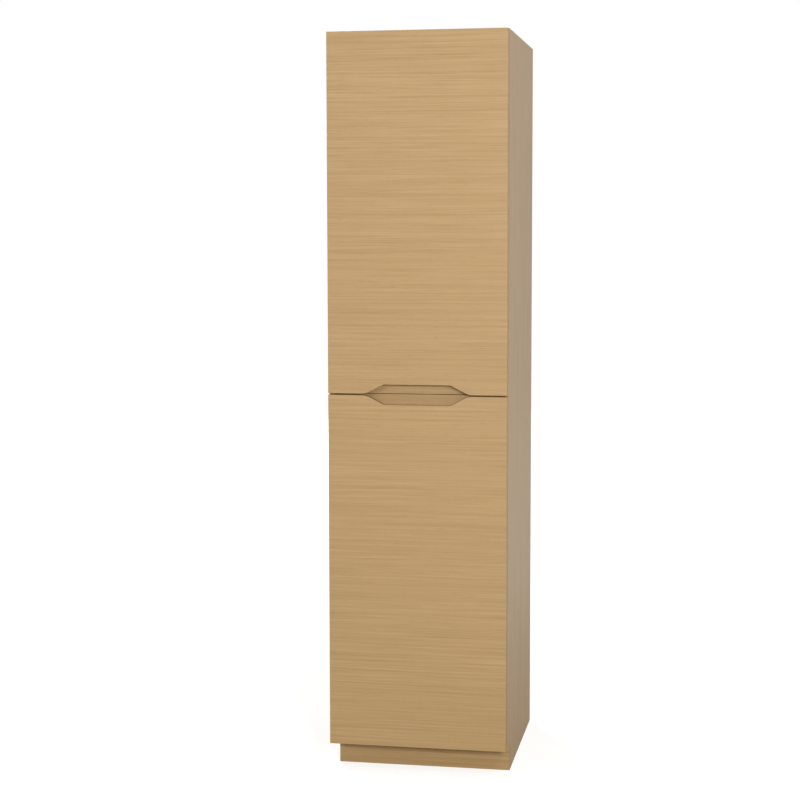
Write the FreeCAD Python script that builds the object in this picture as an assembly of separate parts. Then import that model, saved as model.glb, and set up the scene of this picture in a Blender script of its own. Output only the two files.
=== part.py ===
import FreeCAD, Part
import math
import os

# Tall two-door broom cupboard in melamine-faced board.
# X runs to the viewer's right, the doors face -Y, Z is up from the floor.
# The origin lies on the floor, in the middle of the closed cupboard's box.

# Outside of the closed cupboard
WIDTH = 500.0
DEPTH = 600.0
HEIGHT = 2055.0

# Boards
BOARD = 16.0
DOOR_BOARD = 18.0
BACK_BOARD = 6.0
BOARD_EASE = 0.5
DOOR_EASE = 1.0
GROOVE_DEPTH = 6.0
GROOVE_PLAY = 0.2

# Plinth
PLINTH_HEIGHT = 75.0
TOE_RECESS = 60.0
PLINTH_LEFT_INSET = 12.0
PLINTH_BACK_INSET = 40.0
PLINTH_BLOCK = 28.0
PLINTH_BLOCK_HEIGHT = 40.0

# Doors and the finger recess where they meet
DOOR_STANDOFF = 3.0
DOOR_REVEAL = 1.0
DOOR_GAP = 4.0
RECESS_MOUTH = 287.0
RECESS_HEAD = 186.0
RECESS_DEPTH = 26.0
RECESS_CORNER = 14.0
RECESS_TIP = 45.0
FINGER_ROOM = 17.0
BUMPER_DIAMETER = 9.0
BUMPER_INSET = 45.0

# Rails behind the recess, and the rails that screw to the wall
RAIL_HEIGHT = 58.0
RAIL_JOINT = 0.6
RAIL_EASE = 1.5
WALL_RAIL_HEIGHT = 96.0
WALL_HOLE = 5.5
WALL_HOLE_SPACING = 320.0

# Inside
BROOM_BAY = 180.0
SHELF_PITCH = 320.0
SHELVES_PER_BAY = 2
SHELF_SIDE_PLAY = 1.0
SHELF_FRONT_SET = 12.0
SHELF_BACK_PLAY = 2.0
SHELF_HOLE_PITCH = 32.0
SHELF_HOLE_INSET = 50.0
SHELF_PIN = 5.0
SHELF_PIN_IN = 8.0
SHELF_PIN_OUT = 8.0
SHELF_PIN_COLLAR = 7.5
SHELF_PIN_COLLAR_LENGTH = 0.8

# Hidden joints between boards
DOWEL = 8.0
DOWEL_LENGTH = 30.0
DOWEL_PITCH = 32.0
DOWEL_FROM_CAM = 64.0
FIT_PLAY = 0.05
HOLE_END_PLAY = 0.5
BLIND_SKIN = 4.5
CUT_PAST = 1.0
JOINT_INSET = 60.0
CAM = 15.0
CAM_SKIN = 3.5
CAM_SINK = 0.3
CAM_BACKSET = 24.0
CAM_SLOT_PLAY = 0.4
CAM_DRIVE_LENGTH = 8.0
CAM_DRIVE_WIDTH = 1.6
CAM_DRIVE_DEPTH = 1.5
BOLT_THREAD = 5.0
BOLT_COLLAR = 6.6
BOLT_COLLAR_LENGTH = 3.0
BOLT_SHANK = 4.0
BOLT_HEAD = 6.4
BOLT_HEAD_LENGTH = 3.5

# Concealed cup hinges on the left gable
HINGES_PER_DOOR = 3
HINGE_END_INSET = 100.0
CUP = 35.0
CUP_DEPTH = 13.0
CUP_WALL = 1.0
CUP_FLOOR = 0.8
CUP_FROM_EDGE = 2.5
CUP_PLAY = 0.1
FLANGE = 1.2
FLANGE_WIDTH = 14.0
FLANGE_END = 7.0
FLANGE_CORNER = 5.0
FLANGE_OFFSET = 6.0
FLANGE_SCREW_SPACING = 48.0
HINGE_PIN = 3.0
HINGE_PIN_PLAY = 0.05
EYE = 5.2
EYE_LENGTH = 8.0
EYE_FLOOR_ROOM = 0.6
EYE_WALL_ROOM = 0.9
ARM = 2.0
ARM_WIDTH = 12.0
ARM_TAIL = 62.0
PLATE = 4.5
PLATE_FRONT = 14.0
PLATE_WING = 2.0
PLATE_WING_WIDTH = 18.0
PLATE_WING_END = 9.0
PLATE_SCREW_LINE = 37.0
PLATE_SCREW_SPACING = 32.0
ARM_SCREW_LINES = (22.0, 54.0)

# Screws
WOOD_SCREW = 3.5
WOOD_SCREW_HEAD = 7.0
SCREW_TIP = 3.0
ARM_SCREW = 4.0
ARM_SCREW_HEAD = 8.0
ARM_SCREW_HEAD_HEIGHT = 2.0
DRIVE_LENGTH = 3.6
DRIVE_WIDTH = 0.9
DRIVE_DEPTH = 1.0

RIGHT = FreeCAD.Vector(1, 0, 0)
LEFT = FreeCAD.Vector(-1, 0, 0)
BACKWARD = FreeCAD.Vector(0, 1, 0)
FORWARD = FreeCAD.Vector(0, -1, 0)
UP = FreeCAD.Vector(0, 0, 1)
DOWN = FreeCAD.Vector(0, 0, -1)

# Planes that the boards share
left_x = -WIDTH / 2
right_x = WIDTH / 2
inner_left_x = left_x + BOARD
inner_right_x = right_x - BOARD
door_front_y = -DEPTH / 2
door_back_y = door_front_y + DOOR_BOARD
carcass_front_y = door_back_y + DOOR_STANDOFF
back_y = DEPTH / 2
back_panel_rear_y = back_y - BOARD
back_panel_front_y = back_panel_rear_y - BACK_BOARD
rail_front_y = door_back_y + FINGER_ROOM
rail_back_y = rail_front_y + BOARD
kick_y = carcass_front_y + TOE_RECESS
floor_z = PLINTH_HEIGHT + BOARD
ceiling_z = HEIGHT - BOARD
door_low_z = PLINTH_HEIGHT + DOOR_REVEAL
door_high_z = HEIGHT - DOOR_REVEAL
door_height = (door_high_z - door_low_z - DOOR_GAP) / 2
seam_z = door_low_z + door_height + DOOR_GAP / 2
door_left_x = left_x + DOOR_REVEAL
door_right_x = right_x - DOOR_REVEAL
partition_left_x = inner_left_x + BROOM_BAY
partition_right_x = partition_left_x + BOARD
fixed_shelf_low_z = seam_z - BOARD / 2
fixed_shelf_high_z = seam_z + BOARD / 2

# Fastenings stop short of the far face of the board that they enter
blind_depth = BOARD - BLIND_SKIN - HOLE_END_PLAY
cam_depth = BOARD - CAM_SKIN
cup_screw_length = FLANGE + DOOR_BOARD - BLIND_SKIN - HOLE_END_PLAY
plate_screw_length = PLATE_WING + blind_depth
plinth_screw_length = PLINTH_BLOCK_HEIGHT + blind_depth

# The hinge pin lies where the arm's eye just clears the cup's wall and floor
cup_x = door_left_x + CUP_FROM_EDGE + CUP / 2
cup_inner_radius = CUP / 2 - CUP_WALL
eye_wall_x = cup_x - math.sqrt(cup_inner_radius ** 2 - (EYE_LENGTH / 2) ** 2)
hinge_pin_x = eye_wall_x + EYE_WALL_ROOM + EYE / 2
hinge_pin_y = door_back_y - CUP_DEPTH + CUP_FLOOR + EYE_FLOOR_ROOM + EYE / 2
hinge_pin_length = 2 * math.sqrt((CUP / 2) ** 2 - (cup_x - hinge_pin_x - HINGE_PIN / 2) ** 2)
arm_x = inner_left_x + PLATE + ARM / 2

nodes = {}
cutters = {}


def at(x, y, z):
    return FreeCAD.Vector(x, y, z)


def block(x_pair, y_pair, z_pair):
    """Plain box between two planes on each axis, given in any order."""
    low = at(min(x_pair), min(y_pair), min(z_pair))
    size = at(max(x_pair), max(y_pair), max(z_pair)) - low
    return Part.makeBox(size.x, size.y, size.z, low)


def rod(start, direction, length, diameter):
    return Part.makeCylinder(diameter / 2, length, start, direction)


def placed(shape, point, direction):
    """Copy of a shape drawn along +Z at the origin, set at a point along a direction."""
    copy = shape.copy()
    copy.Placement = FreeCAD.Placement(point, FreeCAD.Rotation(UP, direction))
    return copy


def add_board(name, x_pair, y_pair, z_pair, ease=BOARD_EASE):
    """Board with slightly eased edges, as edging tape leaves them."""
    board = block(x_pair, y_pair, z_pair)
    if ease > 0:
        board = board.makeFillet(ease, board.Edges)
    nodes[name] = [board]
    cutters[name] = []


def add_to_group(name, solid):
    nodes.setdefault(name, []).append(solid)


def drill(board, start, direction, depth, diameter):
    cutters[board].append(rod(start, direction, depth, diameter))


def rounded_prism(corners, start_y, thickness):
    """Prism along +Y over an outline of (x, z, radius) corners."""
    count = len(corners)
    arcs = []
    for index in range(count):
        x, z, radius = corners[index]
        before = corners[index - 1]
        after = corners[(index + 1) % count]
        corner = at(x, start_y, z)
        to_before = (at(before[0], start_y, before[1]) - corner).normalize()
        to_after = (at(after[0], start_y, after[1]) - corner).normalize()
        half_angle = to_before.getAngle(to_after) / 2
        inward = (to_before + to_after).normalize()
        reach = radius / math.tan(half_angle)
        middle = corner + inward * (radius / math.sin(half_angle) - radius)
        arcs.append((corner + to_before * reach, middle, corner + to_after * reach, radius))
    edges = []
    for index in range(count):
        first, middle, last, radius = arcs[index]
        if radius > 0:
            edges.append(Part.Arc(first, middle, last).toShape())
        edges.append(Part.LineSegment(last, arcs[(index + 1) % count][0]).toShape())
    face = Part.Face(Part.Wire(edges))
    return face.extrude(BACKWARD * thickness)


def add_dowel(face_board, edge_board, point, direction):
    """Wooden dowel across a butt joint; direction runs from the face board into the edge board."""
    start = point - direction * blind_depth
    add_to_group("dowels", rod(start, direction, DOWEL_LENGTH, DOWEL))
    hole_start = start - direction * HOLE_END_PLAY
    for board in (face_board, edge_board):
        drill(board, hole_start, direction, DOWEL_LENGTH + 2 * HOLE_END_PLAY, DOWEL + 2 * FIT_PLAY)


def add_cam_joint(upright, shelf, joint_x, direction, y, middle_z, cam_face):
    """Cam lock let into a flat board, with its bolt screwed into the upright beside it."""
    face_z = middle_z + cam_face.z * BOARD / 2
    centre = at(joint_x, y, face_z) + direction * CAM_BACKSET
    cam_top = centre - cam_face * CAM_SINK
    cam = rod(cam_top, -cam_face, cam_depth - CAM_SINK, CAM)
    slot_half = BOLT_HEAD / 2 + CAM_SLOT_PLAY
    slot_end = centre + direction * slot_half
    slot_start = centre - direction * CAM
    cam = cam.cut(block((slot_start.x, slot_end.x), (y - slot_half, y + slot_half),
                        (middle_z - slot_half, middle_z + slot_half)))
    drive_z = (cam_top.z, cam_top.z - cam_face.z * CAM_DRIVE_DEPTH)
    for x_size, y_size in ((CAM_DRIVE_LENGTH, CAM_DRIVE_WIDTH), (CAM_DRIVE_WIDTH, CAM_DRIVE_LENGTH)):
        cam = cam.cut(block((centre.x - x_size / 2, centre.x + x_size / 2),
                            (y - y_size / 2, y + y_size / 2), drive_z))
    add_to_group("cam_locks", cam)
    drill(shelf, centre, -cam_face, cam_depth + FIT_PLAY, CAM + 2 * FIT_PLAY)

    joint = at(joint_x, y, middle_z)
    thread = rod(joint - direction * blind_depth, direction, blind_depth, BOLT_THREAD)
    collar = rod(joint, direction, BOLT_COLLAR_LENGTH, BOLT_COLLAR)
    head_start = CAM_BACKSET - BOLT_HEAD_LENGTH / 2
    shank = rod(joint, direction, head_start, BOLT_SHANK)
    head = rod(joint + direction * head_start, direction, BOLT_HEAD_LENGTH, BOLT_HEAD)
    add_to_group("cam_bolts", thread.multiFuse([collar, shank, head]).removeSplitter())
    drill(upright, joint, -direction, blind_depth + HOLE_END_PLAY, BOLT_THREAD + 2 * FIT_PLAY)
    drill(shelf, joint, direction, CAM_BACKSET, BOLT_COLLAR + 2 * FIT_PLAY)


def wood_screw_form(length, play):
    """Countersunk screw along +Z with its head's flat at the origin."""
    head_radius = WOOD_SCREW_HEAD / 2 + play
    shank_radius = WOOD_SCREW / 2 + play
    head_depth = head_radius - shank_radius
    head = Part.makeCone(head_radius, shank_radius, head_depth)
    shank = Part.makeCylinder(shank_radius, length - SCREW_TIP - head_depth, at(0, 0, head_depth))
    tip = Part.makeCone(shank_radius, shank_radius / 3, SCREW_TIP + play, at(0, 0, length - SCREW_TIP))
    return head.multiFuse([shank, tip]).removeSplitter()


def cross_recess():
    drive = (0, DRIVE_DEPTH)
    half = (-DRIVE_LENGTH / 2, DRIVE_LENGTH / 2)
    thin = (-DRIVE_WIDTH / 2, DRIVE_WIDTH / 2)
    return block(half, thin, drive).fuse(block(thin, half, drive))


def add_wood_screw(group, boards, seat, direction, length):
    """Wood screw with its head flush at the seat, and its hole in every board that it passes."""
    add_to_group(group, placed(wood_screw_form(length, 0).cut(cross_recess()), seat, direction))
    for board in boards:
        cutters[board].append(placed(wood_screw_form(length, FIT_PLAY), seat, direction))


def add_arm_screw(boards, seat, direction):
    """Pan-head machine screw that holds a hinge arm down on its plate."""
    length = ARM + PLATE
    shank = Part.makeCylinder(ARM_SCREW / 2, length)
    head = Part.makeCylinder(ARM_SCREW_HEAD / 2, ARM_SCREW_HEAD_HEIGHT, at(0, 0, -ARM_SCREW_HEAD_HEIGHT))
    recess = cross_recess()
    recess.translate(at(0, 0, -ARM_SCREW_HEAD_HEIGHT))
    screw = shank.fuse(head).removeSplitter().cut(recess)
    add_to_group("arm_screws", placed(screw, seat, direction))
    for board in boards:
        drill(board, seat, direction, length, ARM_SCREW + 2 * FIT_PLAY)


def make_carcass():
    full_depth = (carcass_front_y, back_y)
    between = (inner_left_x, inner_right_x)
    add_board("left_gable", (left_x, inner_left_x), full_depth, (PLINTH_HEIGHT, HEIGHT))
    add_board("right_gable", (inner_right_x, right_x), full_depth, (0, HEIGHT))
    add_board("top_panel", between, full_depth, (ceiling_z, HEIGHT))
    add_board("bottom_panel", between, full_depth, (PLINTH_HEIGHT, floor_z))

    # The right gable reaches the floor and is stepped back over the toe space
    toe_space = block((inner_right_x - CUT_PAST, right_x + CUT_PAST),
                      (carcass_front_y - CUT_PAST, kick_y + BOARD), (-CUT_PAST, PLINTH_HEIGHT))
    cutters["right_gable"].append(toe_space)

    # The back panel slides in a groove in all four boards around it
    tongue = GROOVE_DEPTH - GROOVE_PLAY
    add_board("back_panel", (inner_left_x - tongue, inner_right_x + tongue),
              (back_panel_front_y, back_panel_rear_y), (floor_z - tongue, ceiling_z + tongue), ease=0)
    groove = block((inner_left_x - GROOVE_DEPTH, inner_right_x + GROOVE_DEPTH),
                   (back_panel_front_y - GROOVE_PLAY, back_panel_rear_y),
                   (floor_z - GROOVE_DEPTH, ceiling_z + GROOVE_DEPTH))
    for board in ("left_gable", "right_gable", "top_panel", "bottom_panel"):
        cutters[board].append(groove)

    front_line = carcass_front_y + JOINT_INSET
    rear_line = back_panel_front_y - JOINT_INSET
    cam_faces = (("top_panel", ceiling_z + BOARD / 2, UP), ("bottom_panel", floor_z - BOARD / 2, DOWN))
    for panel, middle_z, cam_face in cam_faces:
        for gable, joint_x, direction in (("left_gable", inner_left_x, RIGHT),
                                          ("right_gable", inner_right_x, LEFT)):
            for y, step in ((front_line, DOWEL_FROM_CAM), (rear_line, -DOWEL_FROM_CAM)):
                add_cam_joint(gable, panel, joint_x, direction, y, middle_z, cam_face)
                add_dowel(gable, panel, at(joint_x, y + step, middle_z), direction)


def make_mid_rails():
    """Two rails, edge to edge, that close the finger recess behind the doors."""
    upper_z = (seam_z + RAIL_JOINT / 2, seam_z + RAIL_JOINT / 2 + RAIL_HEIGHT)
    lower_z = (seam_z - RAIL_JOINT / 2 - RAIL_HEIGHT, seam_z - RAIL_JOINT / 2)
    middle_y = (rail_front_y + rail_back_y) / 2
    partition_middle_x = (partition_left_x + partition_right_x) / 2
    for name, z_pair in (("upper_mid_rail", upper_z), ("lower_mid_rail", lower_z)):
        add_board(name, (inner_left_x, inner_right_x), (rail_front_y, rail_back_y), z_pair, RAIL_EASE)
        middle_z = sum(z_pair) / 2
        for offset in (-DOWEL_PITCH / 2, DOWEL_PITCH / 2):
            add_dowel("left_gable", name, at(inner_left_x, middle_y, middle_z + offset), RIGHT)
            add_dowel("right_gable", name, at(inner_right_x, middle_y, middle_z + offset), LEFT)
        add_dowel(name, "partition", at(partition_middle_x, rail_back_y, middle_z), BACKWARD)


def make_wall_rails():
    """Rails behind the back panel; screws to the wall pass through both."""
    upper_z = (ceiling_z - WALL_RAIL_HEIGHT, ceiling_z)
    lower_z = (floor_z, floor_z + WALL_RAIL_HEIGHT)
    middle_y = (back_panel_rear_y + back_y) / 2
    for name, z_pair in (("upper_wall_rail", upper_z), ("lower_wall_rail", lower_z)):
        add_board(name, (inner_left_x, inner_right_x), (back_panel_rear_y, back_y), z_pair)
        middle_z = sum(z_pair) / 2
        for offset in (-DOWEL_PITCH / 2, DOWEL_PITCH / 2):
            add_dowel("left_gable", name, at(inner_left_x, middle_y, middle_z + offset), RIGHT)
            add_dowel("right_gable", name, at(inner_right_x, middle_y, middle_z + offset), LEFT)
        hole_length = back_y - back_panel_front_y + 2 * CUT_PAST
        for x in (-WALL_HOLE_SPACING / 2, WALL_HOLE_SPACING / 2):
            for board in (name, "back_panel"):
                drill(board, at(x, back_panel_front_y - CUT_PAST, middle_z), BACKWARD, hole_length, WALL_HOLE)


def make_partition():
    """Upright that parts the full-height broom bay from the shelf bay."""
    y_pair = (rail_back_y, back_panel_front_y)
    add_board("partition", (partition_left_x, partition_right_x), y_pair, (floor_z, ceiling_z))
    middle_x = (partition_left_x + partition_right_x) / 2
    lines = (rail_back_y + JOINT_INSET, sum(y_pair) / 2, back_panel_front_y - JOINT_INSET)
    for y in lines:
        add_dowel("bottom_panel", "partition", at(middle_x, y, floor_z), UP)
        add_dowel("top_panel", "partition", at(middle_x, y, ceiling_z), DOWN)

    add_board("fixed_shelf", (partition_right_x, inner_right_x), y_pair,
              (fixed_shelf_low_z, fixed_shelf_high_z))
    for upright, joint_x, direction in (("partition", partition_right_x, RIGHT),
                                        ("right_gable", inner_right_x, LEFT)):
        for y, step in ((lines[0], DOWEL_FROM_CAM), (lines[2], -DOWEL_FROM_CAM)):
            add_cam_joint(upright, "fixed_shelf", joint_x, direction, y, seam_z, DOWN)
            add_dowel(upright, "fixed_shelf", at(joint_x, y + step, seam_z), direction)


def make_shelves():
    """Loose shelves on pegs, two below the fixed shelf and two above it."""
    front_y = rail_back_y + SHELF_FRONT_SET
    rear_y = back_panel_front_y - SHELF_BACK_PLAY
    number = 0
    for bay_floor_z in (floor_z, fixed_shelf_high_z):
        for step in range(1, SHELVES_PER_BAY + 1):
            number = number + 1
            low_z = bay_floor_z + step * SHELF_PITCH
            add_board("shelf_%d" % number,
                      (partition_right_x + SHELF_SIDE_PLAY, inner_right_x - SHELF_SIDE_PLAY),
                      (front_y, rear_y), (low_z, low_z + BOARD))
            for y in (front_y + SHELF_HOLE_INSET, rear_y - SHELF_HOLE_INSET):
                add_shelf_pin("partition", at(partition_right_x, y, low_z - SHELF_PIN / 2), RIGHT)
                add_shelf_pin("right_gable", at(inner_right_x, y, low_z - SHELF_PIN / 2), LEFT)


def add_shelf_pin(upright, point, direction):
    """Peg in the middle one of three holes, with a collar against the board."""
    hole_depth = SHELF_PIN_IN + HOLE_END_PLAY
    for step in (-1, 0, 1):
        drill(upright, point + UP * (step * SHELF_HOLE_PITCH), -direction, hole_depth,
              SHELF_PIN + 2 * FIT_PLAY)
    peg = rod(point - direction * SHELF_PIN_IN, direction, SHELF_PIN_IN + SHELF_PIN_OUT, SHELF_PIN)
    collar = rod(point, direction, SHELF_PIN_COLLAR_LENGTH, SHELF_PIN_COLLAR)
    add_to_group("shelf_pins", peg.fuse(collar).removeSplitter())


def make_plinth():
    """Kickboard, left end, back and brace, with corner blocks screwed up into the bottom panel."""
    z_pair = (0, PLINTH_HEIGHT)
    start_x = left_x + PLINTH_LEFT_INSET
    inside_y = (kick_y + BOARD, back_y - PLINTH_BACK_INSET - BOARD)
    add_board("kickboard", (start_x, right_x), (kick_y, kick_y + BOARD), z_pair)
    add_board("plinth_left", (start_x, start_x + BOARD), (inside_y[0], inside_y[1] + BOARD), z_pair)
    add_board("plinth_back", (start_x + BOARD, inner_right_x), (inside_y[1], inside_y[1] + BOARD), z_pair)
    add_board("plinth_brace", (-BOARD / 2, BOARD / 2), inside_y, z_pair)

    block_z = (PLINTH_HEIGHT - PLINTH_BLOCK_HEIGHT, PLINTH_HEIGHT)
    for corner_x, to_x in ((start_x + BOARD, PLINTH_BLOCK), (inner_right_x, -PLINTH_BLOCK)):
        for corner_y, to_y in ((inside_y[0], PLINTH_BLOCK), (inside_y[1], -PLINTH_BLOCK)):
            name = "plinth_block_%d" % (sum(key.startswith("plinth_block") for key in nodes) + 1)
            add_board(name, (corner_x, corner_x + to_x), (corner_y, corner_y + to_y), block_z)
            seat = at(corner_x + to_x / 2, corner_y + to_y / 2, block_z[0])
            add_wood_screw("plinth_screws", (name, "bottom_panel"), seat, UP, plinth_screw_length)


def make_door(prefix, low_z, recess_up):
    """Door with half of the finger recess in the edge that meets the other door."""
    high_z = low_z + door_height
    if recess_up:
        edge_z = high_z
        floor_of_recess_z = high_z - RECESS_DEPTH
        far_z = low_z
    else:
        edge_z = low_z
        floor_of_recess_z = low_z + RECESS_DEPTH
        far_z = high_z
    corners = [
        (door_left_x, far_z, 0),
        (door_left_x, edge_z, 0),
        (-RECESS_MOUTH / 2, edge_z, RECESS_TIP),
        (-RECESS_HEAD / 2, floor_of_recess_z, RECESS_CORNER),
        (RECESS_HEAD / 2, floor_of_recess_z, RECESS_CORNER),
        (RECESS_MOUTH / 2, edge_z, RECESS_TIP),
        (door_right_x, edge_z, 0),
        (door_right_x, far_z, 0),
    ]
    name = prefix + "_door"
    door = rounded_prism(corners, door_front_y, DOOR_BOARD)
    rims = [edge for edge in door.Edges if edge.BoundBox.YLength < DOOR_BOARD / 2]
    nodes[name] = [door.makeFillet(DOOR_EASE, rims)]
    cutters[name] = []

    for z in (low_z + BUMPER_INSET, high_z - BUMPER_INSET):
        spot = at(right_x - BOARD / 2, door_back_y, z)
        add_to_group(prefix + "_door_bumpers", rod(spot, BACKWARD, DOOR_STANDOFF, BUMPER_DIAMETER))

    first_z = low_z + HINGE_END_INSET
    spacing = (door_height - 2 * HINGE_END_INSET) / (HINGES_PER_DOOR - 1)
    for index in range(HINGES_PER_DOOR):
        make_hinge(prefix, index + 1, first_z + index * spacing)


def make_hinge(prefix, number, z):
    """Cup hinge: the cup and its pin ride on the door, the arm and plate stay on the left gable."""
    door = prefix + "_door"
    name = "%s_hinge_%d_" % (prefix, number)
    pin_low = at(hinge_pin_x, hinge_pin_y, z - hinge_pin_length / 2)

    cup_bottom = at(cup_x, door_back_y - CUP_DEPTH, z)
    shell = rod(cup_bottom, BACKWARD, CUP_DEPTH + FLANGE, CUP)
    flange_x = cup_x + FLANGE_OFFSET
    flange_half = FLANGE_SCREW_SPACING / 2 + FLANGE_END
    flange_corners = [
        (flange_x + side_x * FLANGE_WIDTH / 2, z + side_z * flange_half, FLANGE_CORNER)
        for side_x, side_z in ((-1, -1), (1, -1), (1, 1), (-1, 1))
    ]
    shell = shell.fuse(rounded_prism(flange_corners, door_back_y, FLANGE)).removeSplitter()
    nodes[name + "cup"] = [shell]
    hollow = rod(cup_bottom + BACKWARD * CUP_FLOOR, BACKWARD, CUP_DEPTH + FLANGE, CUP - 2 * CUP_WALL)
    cutters[name + "cup"] = [hollow, rod(pin_low, UP, hinge_pin_length, HINGE_PIN)]
    nodes[name + "pin"] = [rod(pin_low, UP, hinge_pin_length, HINGE_PIN)]
    drill(door, cup_bottom - BACKWARD * CUP_PLAY, BACKWARD, CUP_DEPTH + 2 * CUP_PLAY, CUP + 2 * CUP_PLAY)
    drill(door, pin_low - UP * CUP_PLAY, UP, hinge_pin_length + 2 * CUP_PLAY, HINGE_PIN + 2 * CUP_PLAY)
    for side in (-1, 1):
        seat = at(flange_x, door_back_y + FLANGE, z + side * FLANGE_SCREW_SPACING / 2)
        add_wood_screw(prefix + "_cup_screws", (door, name + "cup"), seat, FORWARD, cup_screw_length)

    eye = rod(at(hinge_pin_x, hinge_pin_y, z - EYE_LENGTH / 2), UP, EYE_LENGTH, EYE)
    neck = block((hinge_pin_x, arm_x + ARM / 2), (hinge_pin_y - ARM / 2, hinge_pin_y + ARM / 2),
                 (z - EYE_LENGTH / 2, z + EYE_LENGTH / 2))
    tail_y = carcass_front_y + ARM_TAIL
    leg = block((arm_x - ARM / 2, arm_x + ARM / 2), (hinge_pin_y - ARM / 2, tail_y),
                (z - ARM_WIDTH / 2, z + ARM_WIDTH / 2))
    nodes[name + "arm"] = [eye.multiFuse([neck, leg]).removeSplitter()]
    eye_bore = HINGE_PIN + 2 * HINGE_PIN_PLAY
    cutters[name + "arm"] = [rod(pin_low, UP, hinge_pin_length, eye_bore)]

    screw_y = carcass_front_y + PLATE_SCREW_LINE
    wing_half = PLATE_SCREW_SPACING / 2 + PLATE_WING_END
    plate = block((inner_left_x, inner_left_x + PLATE), (carcass_front_y + PLATE_FRONT, tail_y),
                  (z - ARM_WIDTH / 2, z + ARM_WIDTH / 2))
    wings = block((inner_left_x, inner_left_x + PLATE_WING),
                  (screw_y - PLATE_WING_WIDTH / 2, screw_y + PLATE_WING_WIDTH / 2),
                  (z - wing_half, z + wing_half))
    nodes[name + "plate"] = [plate.fuse(wings).removeSplitter()]
    cutters[name + "plate"] = []
    for side in (-1, 1):
        seat = at(inner_left_x + PLATE_WING, screw_y, z + side * PLATE_SCREW_SPACING / 2)
        add_wood_screw("plate_screws", ("left_gable", name + "plate"), seat, LEFT, plate_screw_length)
    for line in ARM_SCREW_LINES:
        seat = at(arm_x + ARM / 2, carcass_front_y + line, z)
        add_arm_screw((name + "arm", name + "plate"), seat, LEFT)


def write_nodes():
    os.makedirs("parts", exist_ok=True)
    for name, solids in nodes.items():
        if cutters.get(name):
            solids = solids[0].cut(cutters[name]).Solids
        shape = solids[0] if len(solids) == 1 else Part.makeCompound(solids)
        if not shape.isValid():
            raise ValueError("invalid shape in " + name)
        shape.exportStep(os.path.join("parts", name + ".step"))
        print(name, len(solids), "solids, %.0f mm3" % shape.Volume)


make_carcass()
make_partition()
make_mid_rails()
make_wall_rails()
make_shelves()
make_plinth()
make_door("lower", door_low_z, recess_up=True)
make_door("upper", door_low_z + door_height + DOOR_GAP, recess_up=False)
write_nodes()
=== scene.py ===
import math

import bmesh
import bpy
from bpy.props import FloatProperty, FloatVectorProperty, IntProperty, PointerProperty
from mathutils import Matrix, Vector


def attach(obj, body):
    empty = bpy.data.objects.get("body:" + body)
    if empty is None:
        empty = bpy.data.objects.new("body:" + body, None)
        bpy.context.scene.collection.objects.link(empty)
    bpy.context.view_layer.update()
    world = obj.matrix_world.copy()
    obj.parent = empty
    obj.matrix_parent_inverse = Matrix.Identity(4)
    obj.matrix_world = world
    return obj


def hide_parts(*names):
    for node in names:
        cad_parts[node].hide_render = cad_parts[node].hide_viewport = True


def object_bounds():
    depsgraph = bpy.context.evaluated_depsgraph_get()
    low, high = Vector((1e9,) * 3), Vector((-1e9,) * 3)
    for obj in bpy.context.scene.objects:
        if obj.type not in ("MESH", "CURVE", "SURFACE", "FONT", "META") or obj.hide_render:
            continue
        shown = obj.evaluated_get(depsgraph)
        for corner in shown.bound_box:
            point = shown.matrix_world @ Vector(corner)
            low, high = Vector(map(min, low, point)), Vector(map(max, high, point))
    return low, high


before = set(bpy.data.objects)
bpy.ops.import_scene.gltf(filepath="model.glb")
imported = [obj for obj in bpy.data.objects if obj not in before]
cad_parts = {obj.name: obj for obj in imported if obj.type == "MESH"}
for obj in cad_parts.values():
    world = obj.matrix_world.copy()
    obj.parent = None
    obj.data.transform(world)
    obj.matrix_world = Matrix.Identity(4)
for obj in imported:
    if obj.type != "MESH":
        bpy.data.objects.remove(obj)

bl_info = {
    "name": "Broom cupboard",
    "version": (1, 0, 0),
    "blender": (4, 5, 0),
    "location": "View3D > Sidebar > Cupboard",
    "description": "Finishes a tall two-door broom cupboard in wood-print board with plated hinges",
    "category": "Object",
}

MM = 0.001
X, Y, Z = 0, 1, 2
REARWARD, DOWNWARD = (0, 1, 0), (0, 0, -1)
DOORS = ("upper", "lower")
HINGES = (1, 2, 3)
SHELVES = (1, 2, 3, 4)
BLOCKS = (1, 2, 3, 4)
LAMPS = ("left", "right", "side", "rear")
CAD_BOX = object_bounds()

# A face looks along a direction when its normal is within 45 degrees of it
FACING = math.cos(math.radians(45))
# Nearly all of a noise pattern lies between these values
NOISE_LOW, NOISE_HIGH = 0.3, 0.7
# Noise values at which a pore starts to show and is fully there
PORE_START, PORE_FULL = 0.62, 0.8
RESIN_IOR, SILICONE_IOR = 1.5, 1.41
WHITE = (1, 1, 1, 1)


def linear(code):
    """Linear RGB of an sRGB hex colour."""
    channels = [int(code[i:i + 2], 16) / 255 for i in (0, 2, 4)]
    return [c / 12.92 if c <= 0.04045 else ((c + 0.055) / 1.055) ** 2.4 for c in channels]


def length(name, description, millimetres):
    """Length property with its default in millimetres."""
    return FloatProperty(name=name, description=description, default=millimetres * MM, unit="LENGTH")


def place(name, description, metres):
    """Property for a point in the CAD frame."""
    return FloatVectorProperty(name=name, description=description, default=metres,
                               subtype="TRANSLATION", unit="LENGTH")


def angle(name, description, degrees):
    """Angle property with its default in degrees."""
    return FloatProperty(name=name, description=description, default=math.radians(degrees), subtype="ANGLE")


def optic(name, description, millimetres):
    """Lens property in millimetres."""
    return FloatProperty(name=name, description=description, default=millimetres, unit="CAMERA")


def power(name, description, watts):
    """Lamp power property in watts."""
    return FloatProperty(name=name, description=description, default=watts, unit="POWER")


def share(name, description, part):
    """Property for a plain share, such as a roughness or a strength."""
    return FloatProperty(name=name, description=description, default=part, subtype="FACTOR")


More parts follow.
